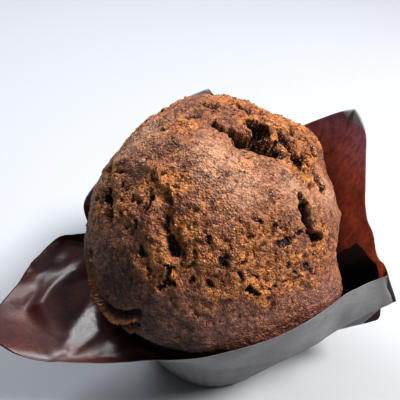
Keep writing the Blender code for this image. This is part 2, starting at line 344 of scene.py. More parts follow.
def bell(distance, spread):
    return np.exp(-((distance / spread) ** 2))


def step_up(value, low, high):
    t = np.clip((value - low) / (high - low), 0.0, 1.0)
    return t * t * (3 - 2 * t)


def spots(towards, marks):
    """1 at the middle of the nearest mark, fading to 0 around it."""
    near = []
    for azimuth, elevation, spread in marks:
        away = np.degrees(np.arccos(np.clip(towards @ direction(azimuth, elevation), -1, 1)))
        near.append(bell(away, spread))
    return np.max(near, axis=0)


def wandering(points):
    """Small shifts of direction, so that no hole is round and no crack is straight."""
    broad = np.column_stack([rough(points, 0.006, seed) for seed in (11, 12, 13)])
    narrow = np.column_stack([rough(points, 0.002, seed) for seed in (14, 15, 16)])
    return broad * 0.026 + narrow * 0.013


def crust_regions(base, towards, marked):
    """How far (0 to 1) each point's crust is torn, pale, in painted shade or rosy, and whether it shows at
    all.
    """
    elevation = np.degrees(np.arcsin(towards[:, 2]))
    showing = step_up(elevation, *SHOWING_BAND)
    torn = spots(marked, TORN_SPOTS) * 1.1 + 0.45 * rough(base, 0.008, 21)
    torn = np.clip(torn, 0.0, 1.0) * showing
    # Pale: partly paler crust, partly painted highlight where the light falls brightest.
    pale = np.clip(spots(marked, PALE_AND_HIGHLIGHT_SPOTS) + 0.25 * rough(base, 0.006, 22), 0.0, 1.0)
    # Painted shade: near-black crust where the cake's low front and left lie in shadow.
    moist = np.clip(spots(marked, PAINTED_SHADE_SPOTS) * 1.1 + 0.20 * rough(base, 0.006, 23), 0.0, 1.0)
    rosy = (1 - step_up(elevation, *ROSY_BAND)) * (1 - torn)
    return {"torn": torn, "pale": pale, "moist": moist, "rosy": rosy, "showing": showing}


def holes_at(marked):
    """Depth in mm of the splits and blowholes."""
    sunk = np.zeros(len(marked))
    rim, full = HOLE_RIM
    for _, azimuth, elevation, end_azimuth, end_elevation, width, depth in HOLES:
        away = from_stroke(marked, azimuth, elevation, end_azimuth, end_elevation)
        sunk = np.maximum(sunk, depth * step_up(-away, -width * rim, -width * full))
    return sunk * HOLE_DEPTH


def swellings_at(base, marked, regions):
    """Height in mm of the ridges, and of the crown's uneven lumps of about 11 and 5 mm."""
    lift = np.zeros(len(marked))
    for _, azimuth, elevation, end_azimuth, end_elevation, width, height in RIDGES:
        away = from_stroke(marked, azimuth, elevation, end_azimuth, end_elevation)
        lift += height * bell(away, width)
    lift += 0.75 * rough(base, 0.011, 31, 2) * regions["showing"]
    return lift + (0.22 + 0.75 * regions["torn"]) * rough(base, 0.0048, 32, 3) * regions["showing"]


def lip_at(calm):
    """Height in mm of the thin double lip and its grooves, and the distance in mm from the lip."""
    upper, lower = from_path(calm, SKIRT), from_path(calm, LOWER_SKIRT)
    above, beneath = from_path(calm, SKIRT, GROOVE_ABOVE), from_path(calm, SKIRT, GROOVE_BELOW)
    shaped = ((upper, SKIRT_LIP), (above, SKIRT_GROOVE), (lower, LOWER_LIP), (beneath, SKIRT_GROOVE))
    lift = sum(height * bell(away, width) for away, (height, width) in shaped)
    return lift, np.minimum(upper, lower)


def crumb_relief(points, wander, torn, by_lip):
    """Height in mm of crumbs of 6, 3 and 1.5 mm, coarser where the crust tore, with pores between them."""
    warped = points + 0.03 * wander
    broad = domes(warped, 0.0062, 40) - 0.45
    coarse = domes(warped, 0.0031, 41) - 0.45
    small = domes(points, 0.0015, 43) - 0.45
    pores = step_up(rough(points, 0.0030, 42, 2), 0.42, 0.60) * (0.20 + torn)
    crumbly = step_up(torn, 0.15, 0.7)
    fine = (0.38 + 0.42 * crumbly) * broad + (0.28 + 0.42 * crumbly) * coarse
    fine += (0.18 + 0.20 * crumbly) * small - 0.60 * pores
    fine += 0.25 * rough(points, 0.0018, 44, 2)
    return fine * (1.0 - 0.85 * bell(by_lip, 2.6))


def hollows_and_crests(points, quads, sunk):
    """Where the surface lies below its surroundings and where it stands out, each from 0 to 1."""
    normals = outward_normals(points, quads)
    wide = ((spread_out(points, quads, 12) - points) * normals).sum(axis=1) * 1000
    close = ((spread_out(points, quads, 2) - points) * normals).sum(axis=1) * 1000
    hollow = np.clip(wide / 1.3 + close / 0.40 + sunk / 4.5, 0.0, 1.0)
    crest = np.clip(-close / 0.12 - wide / 1.2, 0.0, 1.0)
    return hollow, crest


def keep_on_points(mesh, name, values):
    layer = mesh.attributes.new(name, "FLOAT", "POINT")
    layer.data.foreach_set("value", values.astype(np.float32))


def make_cake():
    towards, quads = covered_sphere(CAKE_CELLS)
    towards = crowd_upwards(towards)
    reach = spread_out(reach_of(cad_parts["muffin"], towards), quads, FACET_SMOOTHING)
    base = np.array(crown_middle) + towards * reach[:, None]
    wander = wandering(base)
    marked = towards + wander
    marked /= np.linalg.norm(marked, axis=1, keepdims=True)
    regions = crust_regions(base, towards, marked)

    sunk = holes_at(marked)
    lip, by_lip = lip_at(towards + 0.25 * wander)
    lift = swellings_at(base, marked, regions) + lip
    points = base + towards * ((lift - sunk) * 0.001)[:, None]
    fine = crumb_relief(points, wander, regions["torn"], by_lip) * regions["showing"]
    points = points + outward_normals(points, quads) * (fine * 0.001)[:, None]

    # The hollows get painted shade and the crests a painted highlight in the crumb's finish.
    regions["hollow"], regions["crest"] = hollows_and_crests(points, quads, sunk)
    regions["torn"] = np.maximum(regions["torn"], bell(by_lip, 0.7))
    mesh = bpy.data.meshes.new("muffin_cake")
    mesh.from_pydata(points.tolist(), [], quads.tolist())
    for name, values in regions.items():
        keep_on_points(mesh, name, values)
    mesh.shade_smooth()
    made = bpy.data.objects.new("muffin_cake", mesh)
    bpy.context.scene.collection.objects.link(made)
    return made


class Shade:
    """A shader socket that can stand in sums and products, and that makes its material's other nodes."""

    def __init__(self, tree, socket=None):
        self.tree = tree
        self.socket = socket

    def make(self, kind, settings, values, output=0):
        node = self.tree.nodes.new(kind)
        for name, setting in settings.items():
            setattr(node, name, setting)
        for name, value in values.items():
            if isinstance(value, Shade):
                self.tree.links.new(value.socket, node.inputs[name])
            else:
                node.inputs[name].default_value = value
        return Shade(self.tree, node.outputs[output])

    def maths(self, operation, first, second=0.0):
        return self.make("ShaderNodeMath", {"operation": operation}, {0: first, 1: second})

    def __add__(self, other):
        return self.maths("ADD", self, other)

    def __radd__(self, other):
        return self.maths("ADD", other, self)

    def __sub__(self, other):
        return self.maths("SUBTRACT", self, other)

    def __rsub__(self, other):
        return self.maths("SUBTRACT", other, self)

    def __mul__(self, other):
        return self.maths("MULTIPLY", self, other)

    def __rmul__(self, other):
        return self.maths("MULTIPLY", other, self)

    def clear_of(self, low, high):
        """0 below low, 1 above high, smooth between."""
        return self.make("ShaderNodeMapRange", {"interpolation_type": "SMOOTHSTEP"},
                         {"Value": self, "From Min": low, "From Max": high})

    def noise(self, where, scale, detail, roughness):
        values = {"Vector": where, "Scale": scale, "Detail": detail, "Roughness": roughness}
        return self.make("ShaderNodeTexNoise", {}, values)

    def mix(self, factor, first, second):
        return self.make("ShaderNodeMix", {"data_type": "RGBA"}, {0: factor, 6: first, 7: second}, 2)

    def place(self):
        """Position on the object, in metres."""
        return self.make("ShaderNodeTexCoord", {}, {}, 3)

    def kept(self, name):
        """A value kept on the mesh's points."""
        return self.make("ShaderNodeAttribute", {"attribute_name": name}, {}, 2)

    def along(self, where, axis):
        return self.make("ShaderNodeSeparateXYZ", {}, {0: where}, axis)


def new_finish(name):
    made = bpy.data.materials.new(name)
    made.use_nodes = True
    tree = made.node_tree
    return made, Shade(tree), tree.nodes["Principled BSDF"]


def feed(shader, name, value):
    value.tree.links.new(value.socket, shader.inputs[name])


CRUST_DARK = (0.120, 0.038, 0.024, 1.0)
CRUST_MID = (0.310, 0.112, 0.062, 1.0)
# Pale crust, also the painted highlight where the light falls brightest
CRUST_PALE_AND_HIGHLIGHT = (0.660, 0.420, 0.290, 1.0)
CRUST_ROSY = (0.340, 0.165, 0.150, 1.0)
# Near-black crust for the painted shade
CRUST_IN_PAINTED_SHADE = (0.027, 0.009, 0.009, 1.0)
CRUMB_RED = (0.250, 0.085, 0.046, 1.0)
CRUMB_ORANGE = (0.620, 0.265, 0.066, 1.0)
# Sugar specks, also the painted highlight on the crests
SUGAR_AND_HIGHLIGHT_TAN = (0.700, 0.360, 0.170, 1.0)
# Cocoa specks, also the painted shade in the hollows and pits
COCOA_AND_SHADE_BLACK = (0.016, 0.005, 0.003, 1.0)


def region_tints(s, crust, crumb):
    """Rosy crust, pale crust that is partly painted highlight, painted shade, and the orange crumb where it
    tore.
    """
    crust = s.mix(s.kept("rosy") * 0.65, crust, CRUST_ROSY)
    crust = s.mix(s.kept("pale") * 0.75, crust, CRUST_PALE_AND_HIGHLIGHT)
    # Painted shade: near-black where the crust lies in shadow.
    crust = s.mix(s.kept("moist") * 0.92, crust, CRUST_IN_PAINTED_SHADE)
    return s.mix(s.kept("torn").clear_of(0.10, 0.70), crust, crumb)


def crumb_finish(name, loose):
    """Chocolate crumb, matt with sparks of sugar. The loose crumbs have no regions, hollows or crests."""
    made, s, shader = new_finish(name)
    where = s.place()
    blotch = s.noise(where, 150.0, 5.0, 0.65).clear_of(0.36, 0.64)
    lumps = s.noise(where, 420.0, 3.0, 0.6)
    speckle = s.noise(where, 1500.0, 3.0, 0.65)
    cells = {"Vector": where, "Scale": 1700.0}
    grain = s.make("ShaderNodeTexVoronoi", {}, cells)
    chance = s.make("ShaderNodeTexVoronoi", {}, cells, 1)
    chance = s.make("ShaderNodeSeparateColor", {}, {0: chance}, 0)
    crust = s.mix(blotch, CRUST_DARK, CRUST_MID)
    crumb = s.mix(blotch, CRUMB_RED, CRUMB_ORANGE)
    patches = (1.0 - lumps.clear_of(0.32, 0.46)) * 0.45
    sugar = chance.clear_of(0.60, 1.0) * 0.42
    if loose:
        colour = s.mix(lumps.clear_of(0.35, 0.65), crust, crumb)
    else:
        colour = region_tints(s, crust, crumb)
        # Painted shade also takes away the orange patches and most of the sugar.
        moist = s.kept("moist")
        patches = patches * (1.0 - moist)
        sugar = sugar * (1.0 - moist * 0.75)
    colour = s.mix(lumps.clear_of(0.52, 0.70) * 0.70, colour, CRUST_DARK)
    colour = s.mix(patches, colour, CRUMB_ORANGE)
    colour = s.mix(speckle.clear_of(0.50, 0.66) * 0.45, colour, COCOA_AND_SHADE_BLACK)
    colour = s.mix(sugar, colour, SUGAR_AND_HIGHLIGHT_TAN)
    colour = s.mix((1.0 - chance.clear_of(0.0, 0.35)) * 0.55, colour, CRUST_DARK)
    if not loose:
        # Painted highlight on the crests and painted shade in the hollows and pits.
        colour = s.mix(s.kept("crest") * 0.25, colour, SUGAR_AND_HIGHLIGHT_TAN)
        colour = s.mix(s.kept("hollow").clear_of(0.0, 0.9) * 0.97, colour, COCOA_AND_SHADE_BLACK)
    feed(shader, "Base Color", colour)
    feed(shader, "Roughness", 0.54 - chance.clear_of(0.60, 0.95) * 0.30)
    height = (1.0 - grain) * 0.6 + speckle * 0.5 + lumps * 1.6
    bump = s.make("ShaderNodeBump", {}, {"Strength": 1.0, "Distance": 0.0006, "Height": height})
    feed(shader, "Normal", bump)
    return made


cake = make_cake()
cake.data.materials.append(crumb_finish("baked_chocolate_crumb", False))
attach(cake, "root")
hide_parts("muffin")

# ---- Loose crumbs ------------------------------------------------------------------------------------
# Rough grains of the same crumb, stuck to the crown where it tore and scattered thinly over the crust.
# They are scattered on the cake's surface, sunk to half their height, and joined into one mesh.

CRUMB_SIZE = 0.00030         # radius of a middling crumb
CRUMBS_PER_SQUARE_METRE = 500000.0
SHARE_ON_CRUST = 0.05        # how many lie on whole crust, as a share of those where it tore
FULL_TURN = 6.28


class Network:
    """Nodes of a geometry tree, made one call at a time and wired by their sockets."""

    def __init__(self, name):
        self.tree = bpy.data.node_groups.new(name, "GeometryNodeTree")
        self.inputs = self.tree.nodes.new("NodeGroupInput")

    def input(self, name, kind, value=None):
        socket = self.tree.interface.new_socket(name, in_out="INPUT", socket_type=kind)
        if value is not None:
            socket.default_value = value
        return socket.identifier

    def make(self, kind, settings, values, output=0):
        node = self.tree.nodes.new(kind)
        for name, setting in settings.items():
            setattr(node, name, setting)
        for name, value in values.items():
            if isinstance(value, bpy.types.NodeSocket):
                self.tree.links.new(value, node.inputs[name])
            else:
                node.inputs[name].default_value = value
        return node.outputs[output]

    def finish(self, geometry):
        self.tree.interface.new_socket("Geometry", in_out="OUTPUT", socket_type="NodeSocketGeometry")
        end = self.tree.nodes.new("NodeGroupOutput")
        self.tree.links.new(geometry, end.inputs[0])
        return self.tree


def baked_from(made, name):
    """A plain mesh object from an object's evaluated shape."""
    bpy.context.view_layer.update()
    shape = made.evaluated_get(bpy.context.evaluated_depsgraph_get())
    mesh = bpy.data.meshes.new_from_object(shape)
    mesh.name = name
    plain = bpy.data.objects.new(name, mesh)
    bpy.context.scene.collection.objects.link(plain)
    return plain


def crumb_tree():
    net = Network("scattered_crumbs")
    net.input("Geometry", "NodeSocketGeometry")
    wanted = {
        "Crumb radius": net.input("Crumb radius", "NodeSocketFloat", CRUMB_SIZE),
        "Density": net.input("Density", "NodeSocketFloat", CRUMBS_PER_SQUARE_METRE),
        "Seed": net.input("Seed", "NodeSocketInt", 5),
        "Finish": net.input("Finish", "NodeSocketMaterial"),
    }
    given = net.inputs.outputs
    torn = net.make("GeometryNodeInputNamedAttribute", {"data_type": "FLOAT"}, {"Name": "torn"})
    showing = net.make("GeometryNodeInputNamedAttribute", {"data_type": "FLOAT"}, {"Name": "showing"})
    portions = {0: torn, 1: 1.0 - SHARE_ON_CRUST, 2: SHARE_ON_CRUST}
    share = net.make("ShaderNodeMath", {"operation": "MULTIPLY_ADD"}, portions)
    share = net.make("ShaderNodeMath", {"operation": "MULTIPLY"}, {0: share, 1: showing})
    density = net.make("ShaderNodeMath", {"operation": "MULTIPLY"}, {0: share, 1: given["Density"]})
    scatter = net.make("GeometryNodeDistributePointsOnFaces", {"distribute_method": "RANDOM"},
                       {"Mesh": given["Geometry"], "Density": density, "Seed": given["Seed"]}).node
    lump = net.make("GeometryNodeMeshIcoSphere", {}, {"Radius": given["Crumb radius"], "Subdivisions": 1})
    turn = net.make("FunctionNodeRandomValue", {"data_type": "FLOAT_VECTOR"},
                    {0: (0.0, 0.0, 0.0), 1: (FULL_TURN, FULL_TURN, FULL_TURN), "Seed": 8})
    size = net.make("FunctionNodeRandomValue", {"data_type": "FLOAT_VECTOR"},
                    {0: (0.45, 0.45, 0.35), 1: (1.7, 1.5, 1.2), "Seed": 9})
    copies = {"Points": scatter.outputs["Points"], "Instance": lump, "Rotation": turn, "Scale": size}
    lumps = net.make("GeometryNodeInstanceOnPoints", {}, copies)
    real = net.make("GeometryNodeRealizeInstances", {}, {"Geometry": lumps})
    painted = net.make("GeometryNodeSetMaterial", {}, {"Geometry": real, "Material": given["Finish"]})
    return net.finish(painted), wanted


def make_crumbs():
    source = bpy.data.objects.new("crumb_source", cake.data)
    bpy.context.scene.collection.objects.link(source)
    tree, wanted = crumb_tree()
    growth = source.modifiers.new("crumbs", "NODES")
    growth.node_group = tree
    growth[wanted["Finish"]] = crumb_finish("loose_crumb", True)
    crumbs = baked_from(source, "stuck_crumbs")
    source.modifiers.remove(growth)
    bpy.data.objects.remove(source)
    return crumbs


crumbs = make_crumbs()
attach(crumbs, "root")
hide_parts("muffin")

# ---- The tulip case ----------------------------------------------------------------------------------
# One square sheet of greaseproof paper, brown and glossy inside, pale outside, pressed round the cake
# into a pleated cup. Its corners stand out as petals, and the front right one folds outwards over a crease.

SHEET_THICKNESS = 0.00014
SHEET_GAP = 0.00025         # air between the sheet and the cake, where they would touch
CLEARED_FROM = 0.3          # share of the crown's middle height, above which the sheet is kept off the cake
BASE_RADIUS = 0.0262
WALL_SLOPE = 0.35           # how far the cup's wall leans out for each metre of height
PETAL_STIFFNESS = 0.36      # how straight the sheet runs between the cup and its free edge
SIDE_COLUMNS = 96           # columns of points along each of the sheet's four sides
CUP_ROWS = 42
PETAL_ROWS = 56
FLOOR_RINGS = 6
PLEATS = 46
PLEAT_DEPTH = 0.00045
PLEATS_FADE = (0.030, 0.048)    # heights between which the pressed pleats run out
PRESSED_FROM = 0.036        # height above which the left petal takes the facets below

# The free edge, corner to corner: azimuth in degrees, radius and height in metres, and how far (0 to 1) the
# sheet below it is creased instead of hanging in one curve
FRONT_EDGE = (
    (201.0, 0.0835, 0.0410, 0), (203.0, 0.0803, 0.0410, 0), (205.6, 0.0769, 0.0410, 0),
    (208.4, 0.0744, 0.0410, 0), (211.3, 0.0715, 0.0410, 0), (215.9, 0.0661, 0.0408, 0),
    (219.9, 0.0615, 0.0408, 0), (225.5, 0.0560, 0.0410, 0), (230.6, 0.0520, 0.0415, 0),
    (236.3, 0.0487, 0.0427, 0), (254.2, 0.0460, 0.0500, 0), (263.5, 0.0452, 0.0522, 0),
    (278.0, 0.0448, 0.0562, 0), (290.0, 0.0450, 0.0580, 1), (303.0, 0.0452, 0.0588, 1),
    (325.0, 0.0475, 0.0580, 1), (333.0, 0.0512, 0.0576, 1), (338.9, 0.0579, 0.0598, 1),
)
RIGHT_EDGE = (
    (338.9, 0.0579, 0.0598, 1), (338.3, 0.0603, 0.0555, 1), (337.6, 0.0628, 0.0510, 1),
    (340.5, 0.0600, 0.0545, 1), (343.5, 0.0583, 0.0570, 1), (347.9, 0.0579, 0.0555, 1),
    (350.5, 0.0565, 0.0552, 1), (353.0, 0.0558, 0.0561, 0.7), (359.0, 0.0556, 0.0585, 0),
    (364.0, 0.0541, 0.0618, 0), (367.7, 0.0541, 0.0650, 0), (372.9, 0.0553, 0.0700, 0),
    (379.5, 0.0579, 0.0760, 0), (385.7, 0.0613, 0.0820, 0), (390.5, 0.0638, 0.0842, 0),
    (396.7, 0.0677, 0.0850, 0),
)
BACK_EDGE = (
    (396.7, 0.0677, 0.0850, 0), (399.5, 0.0640, 0.0838, 0), (405.0, 0.0606, 0.0796, 0),
    (412.0, 0.0575, 0.0740, 0), (424.0, 0.0510, 0.0600, 0), (432.0, 0.0500, 0.0540, 0),
    (440.0, 0.0515, 0.0640, 0), (446.0, 0.0545, 0.0780, 0), (451.5, 0.0560, 0.0860, 0),
)
LEFT_EDGE = (
    (451.5, 0.0560, 0.0860, 0), (469.0, 0.0545, 0.0800, 0), (490.0, 0.0530, 0.0680, 0),
    (511.0, 0.0515, 0.0620, 0), (522.5, 0.0508, 0.0605, 0), (528.5, 0.0490, 0.0492, 0),
    (531.0, 0.0537, 0.0494, 0), (532.5, 0.0584, 0.0493, 0), (536.1, 0.0615, 0.0484, 0),
    (539.7, 0.0641, 0.0472, 0), (542.8, 0.0669, 0.0462, 0), (546.2, 0.0693, 0.0450, 0),
    (551.2, 0.0734, 0.0434, 0), (554.2, 0.0762, 0.0425, 0), (557.5, 0.0795, 0.0418, 0),
    (561.0, 0.0835, 0.0410, 0),
)

# The long crease under the front right side: azimuth in degrees, radius and height in metres
CREASE = (
    (278.0, 0.0362, 0.0290), (283.0, 0.0367, 0.0300), (299.0, 0.0392, 0.0315), (311.6, 0.0424, 0.0340),
    (326.0, 0.0481, 0.0390), (333.0, 0.0550, 0.0450), (337.6, 0.0626, 0.0506), (339.5, 0.0600, 0.0440),
    (342.0, 0.0565, 0.0300), (346.0, 0.0615, 0.0275), (349.0, 0.0636, 0.0260), (351.0, 0.0600, 0.0300),
    (354.0, 0.0530, 0.0270),
)

# Where the free edge is turned over and shows the sheet's pale side: azimuth, and how deep that part is
TURNED_OVER = (
    ((387.3, 0.0), (396.7, 0.0054), (399.2, 0.0)),
    ((450.3, 0.0), (451.5, 0.0035), (469.0, 0.0030), (478.0, 0.0)),
    ((502.0, 0.0), (510.0, 0.0070), (520.0, 0.0070), (524.0, 0.0)),
)
# Where the sheet is folded double behind the front right corner, and where its flap shows below the band:
# azimuth, and how far below the free edge that part starts (1.0 is farther than the sheet reaches)
DOUBLED = (
    (349.2, 1.0), (349.8, 0.0060), (351.0, 0.0035), (356.0, 0.0050), (360.5, 0.0075), (361.8, 0.018),
    (362.6, 1.0),
)
FLAP_BELOW = ((339.5, 1.0), (340.0, 0.008), (349.0, 0.009), (349.5, 1.0))
TURNED_STEP = 0.0003        # the second layer's thickness, and its slight lift

# How the sheet hangs: azimuth, height at which it leaves the cup's wall, and slope in degrees of its last
# stretch
HANG = (
    (201.0, 0.0330, 8.0), (218.0, 0.0340, 15.0), (235.0, 0.0360, 45.0), (255.0, 0.0400, 75.0),
    (285.0, 0.0300, 80.0), (308.0, 0.0100, 80.0), (335.0, 0.0040, 75.0), (345.0, 0.0100, 60.0),
    (356.0, 0.0250, 60.0), (395.0, 0.0380, 75.0), (430.0, 0.0450, 80.0), (500.0, 0.0450, 80.0),
    (525.0, 0.0430, 80.0), (536.0, 0.0380, 30.0), (561.0, 0.0330, 8.0),
)


def smooth_through(knots, steps):
    """Catmull-Rom curve through the knots, at steps + 1 evenly spaced values of its chord length."""
    knots = np.asarray(knots, dtype=float)
    place = knots[:, :3] / knots[:, :3].std(axis=0)
    gaps = np.linalg.norm(np.diff(place, axis=0), axis=1)
    along = np.concatenate([[0.0], np.cumsum(gaps)])
    slopes = np.gradient(knots, along, axis=0)
    at = np.linspace(0.0, along[-1], steps + 1)
    span = np.clip(np.searchsorted(along, at, side="right") - 1, 0, len(knots) - 2)
    width = (along[span + 1] - along[span])[:, None]
    t = ((at - along[span])[:, None]) / width
    start = (1 + 2 * t) * (1 - t) ** 2 * knots[span] + t * (1 - t) ** 2 * width * slopes[span]
    end = t**2 * (3 - 2 * t) * knots[span + 1] + t**2 * (t - 1) * width * slopes[span + 1]
    return start + end


def sheet_column(azimuth, edge_radius, edge_height, creased):
    """Middle of the sheet up one column, from the edge of its flat bottom to its free edge."""
    azimuths, heights, slopes = zip(*HANG)
    leave_height = np.interp(azimuth, azimuths, heights)
    slope = math.radians(np.interp(azimuth, azimuths, slopes))
    wall = np.array([WALL_SLOPE, 1.0])
    foot = np.array([BASE_RADIUS, 0.0])
    leave = foot + wall * leave_height
    edge = np.array([edge_radius, edge_height])
    reach = np.linalg.norm(edge - leave) * PETAL_STIFFNESS
    after_leave = leave + wall / math.hypot(*wall) * reach
    before_edge = edge - np.array([math.cos(slope), math.sin(slope)]) * reach
    cup = [foot + (leave - foot) * k / CUP_ROWS for k in range(CUP_ROWS)]
    petal = []
    for k in range(PETAL_ROWS + 1):
        t = k / PETAL_ROWS
        petal.append((1 - t) ** 3 * leave + 3 * t * (1 - t) ** 2 * after_leave
                     + 3 * t**2 * (1 - t) * before_edge + t**3 * edge)
    hanging = np.array(cup + petal)
    crease_azimuths, crease_radii, crease_heights = zip(*CREASE)
    crease = np.array([np.interp(azimuth, crease_azimuths, row) for row in (crease_radii, crease_heights)])
    below = foot + (crease - foot) * np.linspace(0.0, 1.0, CUP_ROWS, endpoint=False)[:, None]
    above = crease + (edge - crease) * np.linspace(0.0, 1.0, PETAL_ROWS + 1)[:, None]
    folded = np.concatenate([below, above])
    share = step_up(creased, 0.0, 1.0)
    profile = hanging + (folded - hanging) * share
    flat = math.radians(azimuth)
    return [(r * math.cos(flat), r * math.sin(flat), z) for r, z in profile]


def clear_of_cake(points):
    """Pushes the sheet out to where it just clears the cake."""
    away = points - np.array(crown_middle)
    length = np.linalg.norm(away, axis=-1, keepdims=True)
    towards = (away / length).reshape(-1, 3)
    least = reach_of(cake, towards).reshape(length.shape) + SHEET_GAP + SHEET_THICKNESS / 2
    high = points[..., 2:] > crown_middle.z * CLEARED_FROM
    return np.array(crown_middle) + away * np.where(high, np.maximum(least / length, 1.0), 1.0)


# Flat facets pressed into the left petal: corners in mm on the plan, the facet's slope along x and y, and
# how softly it meets the rest in mm
FACETS = (
    (
        ((-42.0, 4.0), (-56.0, 6.0), (-62.0, -20.0), (-54.0, -33.0), (-49.0, -34.0), (-41.0, -16.0)),
        -0.28, 0.14, 3.6,
    ),
    (
        ((-82.0, -20.0), (-72.0, -19.5), (-58.0, -24.0), (-50.0, -30.0), (-52.0, -39.0), (-76.0, -36.0)),
        0.02, 0.17, 4.0,
    ),
    (((-50.0, -2.5), (-48.5, -5.5), (-60.6, -13.0), (-66.0, -5.5)), 0.10, 0.02, 3.0),
    (((-72.0, -6.0), (-61.0, -12.0), (-66.0, -20.0), (-84.0, -18.0)), 0.04, 0.07, 3.6),
    (((-45.0, -18.8), (-37.6, -27.8), (-46.2, -37.8), (-48.8, -32.6)), 0.02, 0.00, 0.9),
    (((-34.8, -31.5), (-30.5, -32.3), (-31.6, -37.2), (-37.9, -37.4)), 0.03, 0.02, 1.4),
    (((-25.2, -33.4), (-20.7, -32.6), (-18.9, -37.8), (-23.6, -38.1)), 0.00, 0.00, 1.4),
)


def press_facets(points):
    """Moves the sheet up or down onto each facet's plane, inside its corners."""
    for corners, slope_x, slope_y, soft in FACETS:
        outline = np.array(corners) * 0.001
        middle = outline.mean(axis=0)
        inside = np.full(points.shape[:2], np.inf)
        for start, end in zip(outline, np.roll(outline, -1, axis=0)):
            edge = (end - start) / np.linalg.norm(end - start)
            inward = np.array([-edge[1], edge[0]])
            inward *= np.sign((middle - start) @ inward)
            inside = np.minimum(inside, (points[..., :2] - start) @ inward)
        on_petal = (points[..., 2] > PRESSED_FROM) & (points[..., 0] < 0.0)
        share = step_up(inside * 1000, -soft, soft) * on_petal
        level = (points[..., 2] * share).sum() / max(share.sum(), 1e-9)
        plane = level + (points[..., 0] - middle[0]) * slope_x + (points[..., 1] - middle[1]) * slope_y
        points[..., 2] += (plane - points[..., 2]) * share
    return points


def grid_normals(points):
    """Outward unit normals of a grid of points that runs round the case and up it."""
    around = np.roll(points, -1, axis=0) - np.roll(points, 1, axis=0)
    up = np.gradient(points, axis=1)
    outward = np.cross(around, up)
    return outward / np.maximum(np.linalg.norm(outward, axis=2, keepdims=True), 1e-12)


def pleats(points):
    """How far the pressed pleats stand out of the cup's wall."""
    turn = np.arctan2(points[..., 1], points[..., 0])
    uneven = turn + 0.05 * np.sin(3 * turn + 1.0) + 0.03 * np.sin(7 * turn)
    fold = np.abs(np.sin(uneven * PLEATS / 2)) ** 0.7
    height = points[..., 2]
    fade = step_up(height, 0.0, 0.003) * (1 - step_up(height, *PLEATS_FADE))
    return PLEAT_DEPTH * fold * fade


def from_free_edge(middle):
    """How far each point of the sheet lies below its free edge."""
    steps = np.linalg.norm(np.diff(middle, axis=1), axis=2)
    length = np.concatenate([np.zeros((len(middle), 1)), np.cumsum(steps, axis=1)], axis=1)
    return length[:, -1:] - length


def depth_at(azimuths, table):
    """Second value of the table at each azimuth, as one column."""
    return np.interp(azimuths, *zip(*table))[:, None]


def sheet_middle(knots):
    """Middle of the sheet, column by column, from the middle of its flat bottom to its free edge."""
    middle = np.array([sheet_column(*knot) for knot in knots])
    middle[..., 2] += SHEET_THICKNESS / 2
    middle = middle + grid_normals(middle) * pleats(middle)[..., None]
    middle = press_facets(clear_of_cake(middle))
    shares = np.arange(1, FLOOR_RINGS) / FLOOR_RINGS
    rings = [middle[:, 0] * np.array([share, share, 1.0]) for share in shares]
    return np.concatenate([np.stack(rings, axis=1), middle], axis=1)


def sheet_points(middle, turned):
    """Points of the outer skin, then of the inner skin, then the middle of the bottom on both."""
    outward = grid_normals(middle)
    outward[:, :FLOOR_RINGS - 1] = (0.0, 0.0, -1.0)
    half = SHEET_THICKNESS / 2
    inward = half + TURNED_STEP * step_up(turned, -0.0001, 0.0003)[..., None]
    outer_skin = (middle + outward * half).reshape(-1, 3)
    inner_skin = (middle - outward * inward).reshape(-1, 3)
    poles = np.array([[0.0, 0.0, 0.0], [0.0, 0.0, SHEET_THICKNESS]])
    return np.concatenate([outer_skin, inner_skin, poles])


def sheet_faces(around, up):
    """Faces of the outer skin, of the rim along the free edge, and of the inner skin."""
    skin = around * up
    outer, rim, inner = [], [], []
    for column in range(around):
        here = column * up
        beside = (column + 1) % around * up
        for row in range(up - 1):
            face = (here + row, beside + row, beside + row + 1, here + row + 1)
            outer.append(face)
            inner.append(tuple(skin + corner for corner in reversed(face)))
        rim.append((here + up - 1, beside + up - 1, skin + beside + up - 1, skin + here + up - 1))
        outer.append((beside, here, 2 * skin))
        inner.append((skin + here, skin + beside, 2 * skin + 1))
    return outer, rim, inner


def make_case():
    edges = (FRONT_EDGE, RIGHT_EDGE, BACK_EDGE, LEFT_EDGE)
    knots = np.concatenate([smooth_through(edge, SIDE_COLUMNS)[:-1] for edge in edges])
    middle = sheet_middle(knots)
    around, up = middle.shape[:2]
    azimuths = knots[:, 0]
    below = from_free_edge(middle)
    turned = np.max([depth_at(azimuths, table) for table in TURNED_OVER], axis=0) - below
    doubled = below - depth_at(azimuths, DOUBLED)
    over_crease = np.arange(up) >= FLOOR_RINGS - 1 + CUP_ROWS
    flap = (below > depth_at(azimuths, FLAP_BELOW)) & over_crease

    outer, rim, inner = sheet_faces(around, up)
    mesh = bpy.data.meshes.new("tulip_sheet")
    mesh.from_pydata(sheet_points(middle, turned).tolist(), [], outer + rim + inner)
    mesh.materials.append(paper_finish("greaseproof_outside", False))
    mesh.materials.append(paper_finish("greaseproof_inside", True))
    mesh.materials.append(flap_finish())
    on_flap = np.append(flap.ravel(), np.zeros(flap.size + 2, dtype=bool))
    finish_of_face = [2 if on_flap[list(face)].all() else 0 for face in outer]
    finish_of_face += [0] * len(rim) + [1] * len(inner)
    mesh.polygons.foreach_set("material_index", finish_of_face)
    for name, inner_value in (("turned", turned), ("doubled", doubled)):
        values = np.concatenate([np.full(flap.size, -1.0), inner_value.ravel(), [-1.0, -1.0]])
        keep_on_points(mesh, name, np.clip(values * 1000, -1.0, 1.0))
    mesh.shade_smooth()
    made = bpy.data.objects.new("tulip_sheet", mesh)
    bpy.context.scene.collection.objects.link(made)
    return made


